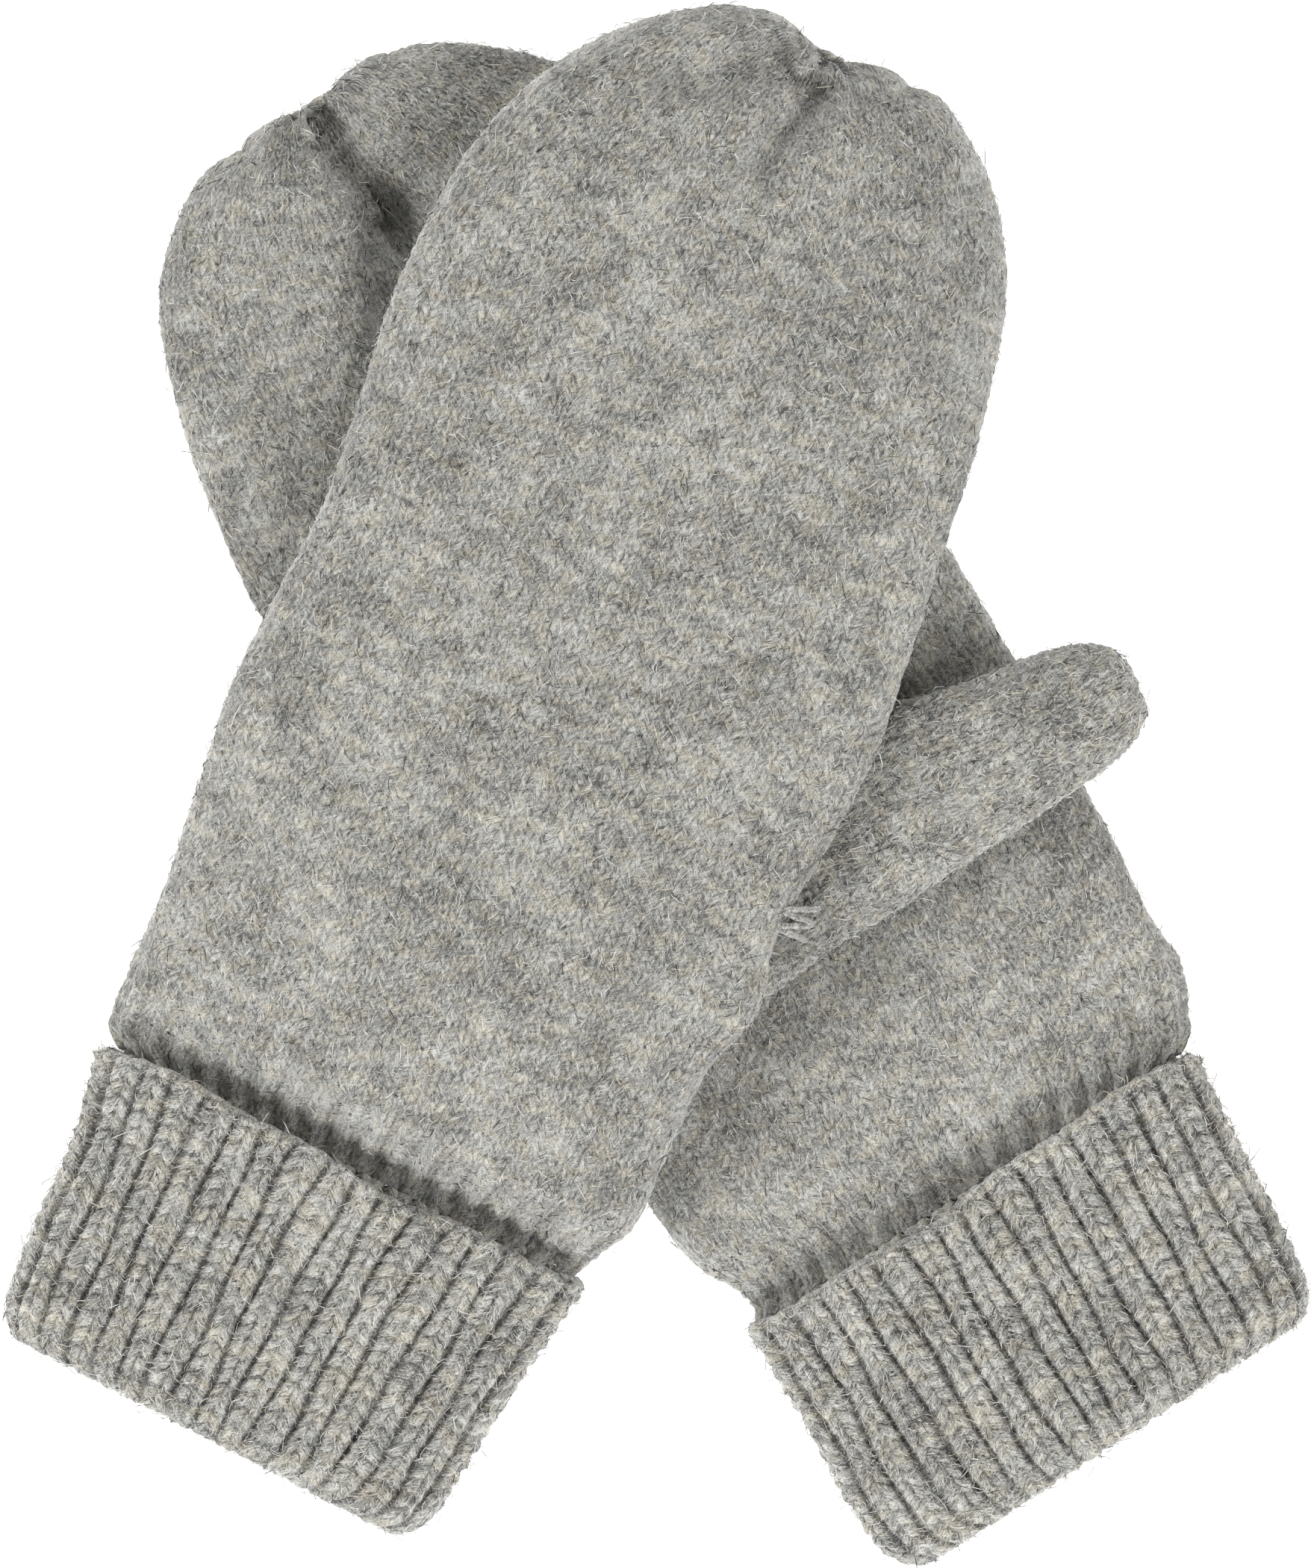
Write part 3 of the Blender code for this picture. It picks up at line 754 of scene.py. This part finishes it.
def make_hand(mitten, material, tones, random):
    """The hand: its knitted outside, a plain lining a wall's thickness inside it, and its loose fibres."""
    rows = int(round((mitten["length"] - HAND_START) / HAND_ROW)) * ROW_STEPS + 1
    count = HAND_COLUMNS * COLUMN_STEPS
    outer = with_tip(hand_points(mitten, rows, 0.0), 2.0 * MM)
    rows = len(outer)
    turn = ring_angles(count)
    u = turn[None, :] * HAND_COLUMNS / math.tau
    u, v, relief = stitch_grid(turn, u, np.arange(rows)[:, None] / ROW_STEPS)
    relief += gather_pleats(rows, turn[:-1])
    relief += rib_strip(rows, turn[:-1])
    outer = on_table(outer + outward(mitten, outer) * relief[..., None])
    lining = hand_points(mitten, LINING_RINGS, HAND_WALL)
    points = np.concatenate([lining[::-1], outer])
    u = np.concatenate([np.repeat(u[:1], LINING_RINGS, axis=0), u])
    v = np.concatenate([np.linspace(v[-1], v[0], LINING_RINGS), v])
    obj = closed_tube(mitten["name"] + "_hand_knit", points, u, v, material)
    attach(obj, mitten["name"] + "_mitten")
    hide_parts(mitten["name"] + "_hand")
    lean = FIBRE_LEAN * np.sign(u[LINING_RINGS:, :-1] % 1.0 - 0.5)
    for part in ("_hand_fibres", "_hand_fuzz"):
        name = mitten["name"] + part
        loose = fibres(name, outer, outward(mitten, outer), lean, HAND_FIBRES, random, tones)
        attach(loose, mitten["name"] + "_mitten")


def with_tip(points, bulge):
    """The rings with more that close the end in a soft rim round a dimple."""
    last = points[-1]
    middle = last.mean(axis=0)
    out = middle - points[-6].mean(axis=0)
    out /= np.linalg.norm(out)
    closing = [
        middle + (last - middle) * k + out * bulge * math.sin(math.pi * (1.0 - k) ** 0.7)
        for k in TIP_STEPS
    ]
    return np.concatenate([points, closing])


def gather_pleats(rows, turn):
    """Small pleats that run into the gathered end."""
    ring = np.arange(rows)[:, None] / (rows - 1.0)
    return 0.7 * MM * smooth(0.93, 0.985, ring) * np.sin(11.0 * turn)


def closed_tube(name, points, u, v, material, looped=False):
    """A mesh through rings, with a flat cap at each end or joined end to end."""
    rings, count = points.shape[:2]
    u, v = np.broadcast_to(u, (rings, count + 1)), np.broadcast_to(v, (rings, count + 1))
    faces = tube_faces(rings, count)
    uv = tube_uv(u, v)
    ends = np.arange(count)
    if looped:
        last = (rings - 1) * count
        bridge = np.stack([ends + last, (ends + 1) % count + last, (ends + 1) % count, ends], axis=1)
        faces = np.concatenate([faces, bridge])
        uv = np.concatenate([uv, tube_uv(u[[-1, -1]], v[[-1, -1]])])
        return make_object(name, points.reshape(-1, 3), faces, uv, material)
    middles = np.stack([points[0].mean(axis=0), points[-1].mean(axis=0)])
    caps = []
    for middle, base in ((rings * count, 0), (rings * count + 1, (rings - 1) * count)):
        a, b = base + ends, base + (ends + 1) % count
        if base == 0:
            a, b = b, a
        caps.append(np.stack([a, b, np.full(count, middle)], axis=1))
    all_points = np.concatenate([points.reshape(-1, 3), middles])
    return make_object(name, all_points, [faces, *caps], uv, material)


def faces_turn_in(points, groups):
    """True where a closed mesh has its faces inside out, from the sign of its volume."""
    volume = 0.0
    for group in groups:
        first = points[group[:, 0]]
        for k in range(1, group.shape[1] - 1):
            volume += np.sum(first * np.cross(points[group[:, k]], points[group[:, k + 1]]))
    return volume < 0.0


def link(name, data, location=(0.0, 0.0, 0.0)):
    """An object in the scene with this data."""
    obj = bpy.data.objects.new(name, data)
    obj.location = location
    bpy.context.scene.collection.objects.link(obj)
    return obj


def make_object(name, points, faces, uv, material):
    """A smooth-shaded mesh. faces is one array of quads, or arrays of quads and triangles."""
    groups = faces if isinstance(faces, list) else [faces]
    corners = np.concatenate([g.ravel() for g in groups])
    sizes = np.concatenate([np.full(len(g), g.shape[1]) for g in groups])
    mesh = bpy.data.meshes.new(name)
    mesh.vertices.add(len(points))
    mesh.vertices.foreach_set("co", points.astype(np.float32).ravel())
    mesh.loops.add(len(corners))
    mesh.loops.foreach_set("vertex_index", corners.astype(np.int32))
    mesh.polygons.add(len(sizes))
    mesh.polygons.foreach_set("loop_start", (np.cumsum(sizes) - sizes).astype(np.int32))
    mesh.update(calc_edges=True)
    if uv is not None:
        places = np.zeros((len(corners), 2))
        places[:len(uv)] = uv
        mesh.uv_layers.new(name="knit").data.foreach_set("uv", places.astype(np.float32).ravel())
    if faces_turn_in(points, groups):
        mesh.flip_normals()
    mesh.shade_smooth()
    mesh.materials.append(material)
    return link(name, mesh)


# --- the cuff


def rib_relief(u, v):
    """Depth of the valleys of 1x1 rib, from -1 to 0, and height of the V stitches on its fat columns."""
    off = np.abs((u % 1.0) - 0.5) * 2.0
    across, along = leg_relief(np.minimum(off * RIB_LEG_WIDEN / 2.0, 0.5), v, RIB_LEG_SLOPE)
    edge = 0.62 + 0.16 * along
    column = 1.0 - smooth(edge, edge + 0.3, off)
    return column - 1.0, np.sqrt(across * along) * column


def turnup_profile():
    """The turned-up half in section: along, depth below its outer skin, and how far its ribs show."""
    roll = (CUFF_WALL + HAND_WALL + 0.6 * MM) / 2.0
    top = CUFF_HEIGHT - CUFF_WALL / 2.0
    outer = np.linspace(top, 1.5 * MM, CUFF_OUTSIDE_RINGS)
    turn = np.linspace(0.0, math.pi, CUFF_FOLD_RINGS + 1)[1:]
    inner = np.linspace(1.0 * MM, top, CUFF_INSIDE_RINGS)
    cap = np.linspace(0.0, math.pi, CUFF_EDGE_RINGS + 2)[1:-1]
    along = np.concatenate([
        outer, 1.5 * MM - (roll + 1.0 * MM) * np.sin(turn), [1.2 * MM], inner,
        top + CUFF_WALL / 2.0 * np.sin(cap),
    ])
    depth = np.concatenate([
        np.zeros_like(outer), roll - roll * np.cos(turn), [4.0 * MM], np.full_like(inner, CUFF_WALL),
        CUFF_WALL / 2.0 * (1.0 + np.cos(cap)),
    ])
    shown = np.concatenate([
        1.0 - 0.45 * smooth(len(outer) - 7, len(outer), np.arange(len(outer))),
        0.55 * (1.0 - smooth(0.8, 2.6, turn)), np.zeros(1 + len(inner)), 0.6 * smooth(1.0, 3.0, cap),
    ])
    return along, depth, shown


def edge_wave(turn):
    """How far the cuff's free edge wanders to and fro along the mitten."""
    return (0.7 * np.sin(3.0 * turn + 1.0) + 0.5 * np.sin(7.0 * turn + 2.0)) * MM


def turnup_grid(mitten, along, depth, f, up):
    """Across, along and up of each ring of the turned-up half, before its ribs."""
    rounded = np.clip((6.0 * MM - along) / (10.0 * MM), 0.0, 1.0)
    near_fold = 1.0 - smooth(0.0, 45.0 * MM, along)
    half_width = turnup_half_width(along) - depth - 3.0 * MM * rounded**2.5
    half_width += mitten["fold_spread"] * near_fold
    middle = centre(mitten, along) + mitten["fold_shift"] * near_fold
    across = middle[:, None] + f * half_width[:, None]
    across += outline_bulges(mitten["cuff_bulges"], np.broadcast_to(f, across.shape), along[:, None])
    along = along - mitten["fold_reach"] * (1.0 - smooth(-2.0 * MM, 25.0 * MM, along))
    lip = CUFF_LIP * smooth(CUFF_HEIGHT - 14.0 * MM, CUFF_HEIGHT, along)[:, None] * smooth(0.0, 0.8, up)
    return across, along, LAYER / 2.0 + up * (LAYER / 2.0 - depth)[:, None] + lip


def make_turnup(mitten, material, tones, random):
    """The turned-up half of the cuff, as one loop of fabric that folds at both ends, with its fibres."""
    along, depth, shown = turnup_profile()
    count = RIBS * RIB_STEPS
    f, up = section(SECTION_HALF_WIDTH, LAYER / 2.0, count)
    across, along, z = turnup_grid(mitten, along, depth, f, up)
    turn = ring_angles(count)
    travelled = np.append(0.0, np.cumsum(np.hypot(np.diff(along), np.diff(depth))))
    v = travelled[:, None] / RIB_ROW
    shift_around, shift_along, swell = stitch_wobble(turn, v)
    u = turn * RIBS / math.tau + 0.4 * shift_around
    v = v + 0.6 * shift_along
    shift = edge_wave(turn[:-1]) * smooth(25.0 * MM, 50.0 * MM, along)[:, None]
    points = cuff_place(mitten, across, along[:, None] + shift, z)
    valley, stitch = rib_relief(u[:, :-1], v[:, :-1])
    relief = (0.72 * valley + 1.1 * (stitch * swell[:, :-1] - 0.5)) * MM * shown[:, None]
    points = on_table(points - outward(mitten, points) * relief[..., None])
    obj = closed_tube(mitten["name"] + "_cuff_turnup_knit", points, u, v, material, looped=True)
    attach(obj, mitten["name"] + "_cuff")
    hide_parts(mitten["name"] + "_cuff_turnup")
    visible = np.r_[-CUFF_EDGE_RINGS:0, 0:CUFF_OUTSIDE_RINGS + FOLD_FIBRE_RINGS]
    skin = points[visible]
    lean = RIB_FIBRE_LEAN * np.sign(u[visible, :-1] % 1.0 - 0.5)
    name = mitten["name"] + "_cuff_fibres"
    loose = fibres(name, skin, -outward(mitten, skin), lean, CUFF_FIBRES, random, tones)
    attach(loose, mitten["name"] + "_cuff")


def make_inner_cuff(mitten, material):
    """The inner half of the cuff, which the turned-up half hides until it is turned down."""
    outer = np.linspace(1.6 * MM, HAND_START - 0.1 * MM, INNER_CUFF_RINGS)
    along = np.concatenate([outer, outer[::-1]])
    depth = CUFF_WALL + GAP + np.repeat([0.0, HAND_WALL], INNER_CUFF_RINGS)
    count = RIBS * INNER_RIB_STEPS
    f, up = section(SECTION_HALF_WIDTH, LAYER / 2.0, count)
    half_width = turnup_half_width(along) - depth
    across = centre(mitten, along)[:, None] + f * half_width[:, None]
    z = LAYER / 2.0 + up * (LAYER / 2.0 - depth)[:, None]
    u = np.broadcast_to(np.arange(count + 1) / INNER_RIB_STEPS, (len(along), count + 1))
    v = along[:, None] / RIB_ROW
    points = cuff_place(mitten, across, np.broadcast_to(along[:, None], z.shape), z)
    valley, stitch = rib_relief(u[:, :-1], v)
    relief = (0.8 * valley + 0.3 * stitch) * MM
    points = points + outward(mitten, points) * relief[..., None]
    obj = closed_tube(mitten["name"] + "_cuff_inner_knit", points, u, v, material, looped=True)
    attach(obj, mitten["name"] + "_mitten")
    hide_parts(mitten["name"] + "_cuff_inner")


# --- the thumb


def thumb_path(mitten, s):
    """Middle line of the thumb in the mitten's frame, and its heading, at the distances s from the pivot."""
    bend_end = 4.0 * MM
    swing = mitten["thumb_swing"]
    fine = np.linspace(s[0], bend_end, 200)
    heading = swing * smooth(-20.0 * MM, 3.0 * MM, fine)
    step = fine[1] - fine[0]
    back_across = np.cumsum((np.sin(heading) * step)[::-1])[::-1]
    back_along = np.cumsum((np.cos(heading) * step)[::-1])[::-1]
    pivot = PIVOT_OFFSET + centre(mitten, PIVOT_ALONG)
    reach = np.maximum(s, bend_end)
    bent = s <= bend_end
    across = pivot + reach * math.sin(swing) - bent * np.interp(s, fine, back_across)
    along = PIVOT_ALONG + reach * math.cos(swing) - bent * np.interp(s, fine, back_along)
    return across, along, np.interp(s, fine, heading)


def thumb_half_width(s):
    """Half the thumb's width: it tapers, and is rounded at its root and its tip."""
    taper = THUMB_TAPER * smooth(20.0 * MM, 80.0 * MM, s)
    tip = np.clip((s - THUMB_LENGTH + THUMB_ROUND) / THUMB_ROUND, 0.0, 1.0)
    root = np.clip((THUMB_START + 17.0 * MM - s) / (17.5 * MM), 0.0, 1.0)
    closing = (1.0 - tip**CROWN_POWER) ** (1.0 / CROWN_POWER)
    opening = (1.0 - root**CROWN_POWER) ** (1.0 / CROWN_POWER)
    return (THUMB_ROOT - taper) * closing * opening


def thumb_rise(mitten, across, along):
    """How far the upper mitten's thumb is lifted to the palm below its crotch, and puffed beyond the hand."""
    if mitten is RIGHT:
        return np.zeros_like(across), np.zeros_like(across)
    joined = (1.0 - smooth(109.0 * MM, 124.0 * MM, along)) * (1.0 - smooth(60.0 * MM, 88.0 * MM, across))
    return CROTCH_LIFT * joined, THUMB_PUFF * smooth(70.0 * MM, 94.0 * MM, across)


def thumb_points(mitten, s, count):
    """Rings of the thumb's skin from its root to the gathered tip, before its stitches."""
    x, y, heading = thumb_path(mitten, s)
    w = thumb_half_width(s)
    f, up = sections(w, THUMB_THICKNESS / 2.0, count, THUMB_ROUNDNESS)
    off = f * w[:, None] + 1.0 * MM * smooth(40.0 * MM, 62.0 * MM, s)[:, None]
    off += CROTCH_WEB * np.exp(-(((s - 3.0 * MM) / (10.0 * MM)) ** 2))[:, None] * np.clip(f, 0.0, 1.0)
    across = x[:, None] + off * np.cos(heading)[:, None]
    along = y[:, None] - off * np.sin(heading)[:, None]
    end = np.minimum(w / (6.0 * MM), 1.0)[:, None]
    lift, puff = thumb_rise(mitten, across, along)
    thick = (THUMB_THICKNESS + puff) * end
    z = mitten["base"] + THUMB_THICKNESS / 2.0 + lift + puff * end / 2.0 + up * thick / 2.0
    return with_tip(place(mitten, across, along, z), 1.0 * MM)


def make_thumb(mitten, material, tones, random):
    """The thumb and its loose fibres."""
    name = mitten["name"]
    count = THUMB_COLUMNS * COLUMN_STEPS
    rows = int((THUMB_LENGTH - THUMB_START) / THUMB_RING)
    s = np.linspace(THUMB_START, THUMB_LENGTH - 2.1 * MM, rows)
    points = thumb_points(mitten, s, count)
    turn = ring_angles(count)
    tip_s = s[-1] + np.arange(1, len(TIP_STEPS) + 1) * 0.4 * MM
    u = turn[None, :] * count / (math.tau * COLUMN_STEPS)
    u, v, relief = stitch_grid(turn, u, np.append(s, tip_s)[:, None] / HAND_ROW)
    points = on_table(points + outward(mitten, points) * relief[..., None])
    obj = closed_tube(name + "_thumb_knit", points, u, v, material)
    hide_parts(name + "_thumb")
    lean = FIBRE_LEAN * np.sign(u[:, :-1] % 1.0 - 0.5)
    normal = outward(mitten, points)
    loose = fibres(name + "_thumb_fibres", points, normal, lean, THUMB_FIBRES, random, tones)
    for piece in (obj, loose):
        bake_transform(piece)


# --- yarn


def yarn(name, path, radius, twist, closed, material):
    """A two-ply yarn along a path of points."""
    path = np.asarray(path, float)
    if closed:
        tangent = np.roll(path, -1, axis=0) - np.roll(path, 1, axis=0)
    else:
        tangent = np.gradient(path, axis=0)
    tangent /= np.linalg.norm(tangent, axis=1, keepdims=True)
    side = np.cross(tangent, [0.0, 0.0, 1.0]) + 1e-9
    side /= np.linalg.norm(side, axis=1, keepdims=True)
    above = np.cross(side, tangent)
    step = np.linalg.norm(np.diff(path, axis=0, append=path[:1] if closed else path[-1:]), axis=1)
    travelled = np.cumsum(step) - step
    turns = travelled / twist
    if closed:
        turns = travelled / travelled[-1] * round(travelled[-1] / twist)
    angle = np.linspace(0.0, math.tau, 10, endpoint=False)
    phase = angle[None, :] * 2.0 - math.tau * turns[:, None]
    r = radius * (0.86 + 0.14 * np.cos(phase))
    sideways = side[:, None] * (np.cos(angle) * r)[..., None]
    points = on_table(path[:, None] + sideways + above[:, None] * (np.sin(angle) * r)[..., None])
    return closed_tube(name, points, np.arange(11) / 5.0, turns[:, None] * 2.0, material, looped=closed)


def make_cuff_edge(mitten, material):
    """The cast-on yarn round the cuff's free edge, which dips in at each rib."""
    along = CUFF_HEIGHT - 0.6 * MM
    count = RIBS * RIB_STEPS
    f, up = section(SECTION_HALF_WIDTH, LAYER / 2.0, count)
    half_width = turnup_half_width(along) - CUFF_WALL / 2.0
    turn = ring_angles(count)[:-1]
    loops = 0.5 * MM * np.cos(RIBS * turn)
    across = centre(mitten, along) + f * (half_width - loops)
    across += outline_bulges(mitten["cuff_bulges"], f, along)
    z = LAYER / 2.0 + up * ((LAYER - CUFF_WALL) / 2.0 - loops) + CUFF_LIP * smooth(0.0, 0.8, up)
    path = cuff_place(mitten, across, along + edge_wave(turn), z)
    name = mitten["name"] + "_cuff_edge_yarn"
    obj = yarn(name, path, EDGE_YARN, EDGE_YARN_TWIST, True, material)
    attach(obj, mitten["name"] + "_cuff")
    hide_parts(mitten["name"] + "_cuff_edge")


def make_join_stitches(mitten, material):
    """Darning at the thumb's crotch: one yarn that goes over the edge four times and dips in at each turn."""
    t = np.linspace(0.0, DARN_PASSES, DARN_PASSES * 24 + 1)
    swing = np.cos(math.pi * t)
    across = centre(mitten, PIVOT_ALONG) + DARN_OFFSET + DARN_REACH * swing
    along = PIVOT_ALONG + 1.0 * MM + DARN_SPACING * t + 0.25 * DARN_REACH * swing
    half = hand_half_width(along, mitten["length"]) + 4.0 * MM
    off = np.clip(np.abs(across - centre(mitten, along)) / half, 0.0, 0.995)
    low, high = layer_heights(mitten, across, along)
    crown = (1.0 - off**ROUNDNESS) ** (1.0 / ROUNDNESS)
    surface = (low + high) / 2.0 + (high - low) / 2.0 * crown
    dip = 2.2 * np.abs(swing) ** 6 + 3.2 * np.maximum(swing, 0.0)
    path = place(mitten, across, along, surface + (0.3 - dip) * MM)
    obj = yarn(mitten["name"] + "_thumb_join_yarn", path, DARN_YARN, YARN_TWIST, False, material)
    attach(obj, mitten["name"] + "_mitten")
    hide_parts(mitten["name"] + "_thumb_join_stitches")


def make_drawstring(name, ends, inset, radius, body, node, material):
    """The closing yarn, drawn up into a small ring across the line between two ends, inset from the first."""
    out = (ends[1] - ends[0]) / np.linalg.norm(ends[1] - ends[0])
    side = np.cross(out, [0.0, 0.0, 1.0])
    turn = np.linspace(0.0, math.tau, 40, endpoint=False)
    ring = np.cos(turn)[:, None] * side + 0.6 * np.sin(turn)[:, None] * np.array([0.0, 0.0, 1.0])
    obj = yarn(name, ends[0] + out * inset + radius * ring, GATHER_YARN, YARN_TWIST, True, material)
    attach(obj, body)
    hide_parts(node)


def make_yarns(mitten, material):
    """The yarns at the cuff's edge, the thumb's crotch, and the gathered tips of the hand and thumb."""
    name = mitten["name"]
    make_cuff_edge(mitten, material)
    make_join_stitches(mitten, material)
    along = mitten["length"] + np.array([-3.0, 0.0]) * MM
    across = np.full(2, centre(mitten, mitten["length"]))
    low, high = layer_heights(mitten, across[1:], along[1:])
    ends = place(mitten, across, along, np.repeat((low + high) / 2.0, 2))
    string, body, node = name + "_crown_gather_yarn", name + "_mitten", name + "_crown_drawstring"
    make_drawstring(string, ends, 0.0, 2.6 * MM, body, node, material)
    x, y, _ = thumb_path(mitten, np.array([-30.0 * MM, THUMB_LENGTH - 3.0 * MM, THUMB_LENGTH]))
    ends = place(mitten, x[1:], y[1:], np.full(2, mitten["base"] + THUMB_THICKNESS / 2.0))
    string, body, node = name + "_thumb_gather_yarn", name + "_thumb", name + "_thumb_drawstring"
    make_drawstring(string, ends, 2.0 * MM, 1.8 * MM, body, node, material)


# --- camera and light


def make_camera(bounds):
    """A camera straight above the middle of the pair, far enough off that the view is nearly flat."""
    middle = (np.array(bounds[0]) + np.array(bounds[1])) / 2.0
    camera = bpy.data.cameras.new("camera")
    camera.sensor_fit = "VERTICAL"
    camera.sensor_height = SENSOR
    camera.lens = SENSOR * CAMERA_DISTANCE / VIEW_HEIGHT
    location = (middle[0], middle[1], FOCUS_HEIGHT + CAMERA_DISTANCE)
    bpy.context.scene.camera = link("camera", camera, location)


def make_floor():
    """A pale table top, which glows a little so that it stays white round the pair."""
    mesh = bpy.data.meshes.new("floor")
    size = FLOOR_HALF
    corners = [(-size, -size, 0), (size, -size, 0), (size, size, 0), (-size, size, 0)]
    mesh.from_pydata(corners, [], [(0, 1, 2, 3)])
    g = Graph("floor")
    g.feed_all(g.shader, {
        "Base Color": (0.8, 0.8, 0.8, 1.0), "Roughness": 0.8,
        "Emission Color": (1.0, 1.0, 1.0, 1.0), "Emission Strength": 0.8,
    })
    mesh.materials.append(g.material)
    link("floor", mesh)


def make_light(name, location, power):
    """A round soft light that faces the pair."""
    light = bpy.data.lights.new(name, "AREA")
    light.shape = "DISK"
    light.size = LIGHT_SIZE
    light.energy = power
    x, y, z = location
    obj = link(name, light, location)
    obj.rotation_euler = (math.atan2(math.hypot(x, y), z), 0.0, math.atan2(-y, -x) - math.pi / 2.0)


def make_world():
    """Faint white light from all round."""
    world = bpy.data.worlds.new("studio")
    bpy.context.scene.world = world
    world.use_nodes = True
    background = world.node_tree.nodes["Background"]
    background.inputs["Color"].default_value = (1.0, 1.0, 1.0, 1.0)
    background.inputs["Strength"].default_value = 0.24


make_camera(CAD_BOX)
make_floor()
make_world()
for light in LIGHTS:
    make_light(*light)
bpy.context.scene.view_settings.view_transform = "Standard"

# The last argument is how strongly painted shade darkens the rib's valleys.
body_wool = heathered_wool("body_wool", LEG_SLOPE, 1.0, 0.0)
rib_wool = heathered_wool("rib_wool", RIB_LEG_SLOPE, RIB_LEG_WIDEN, 0.03)
yarn_wool = heathered_wool("yarn_wool", 0.0, 1.0, 0.0)
tones = [fibre_wool("fibre_" + tone[0], tone[1]) for tone in FIBRE_TONES]
random = np.random.default_rng(7)
for mitten in (RIGHT, LEFT):
    make_hand(mitten, body_wool, tones, random)
    make_turnup(mitten, rib_wool, tones, random)
    make_inner_cuff(mitten, rib_wool)
    make_thumb(mitten, body_wool, tones, random)
    make_yarns(mitten, yarn_wool)
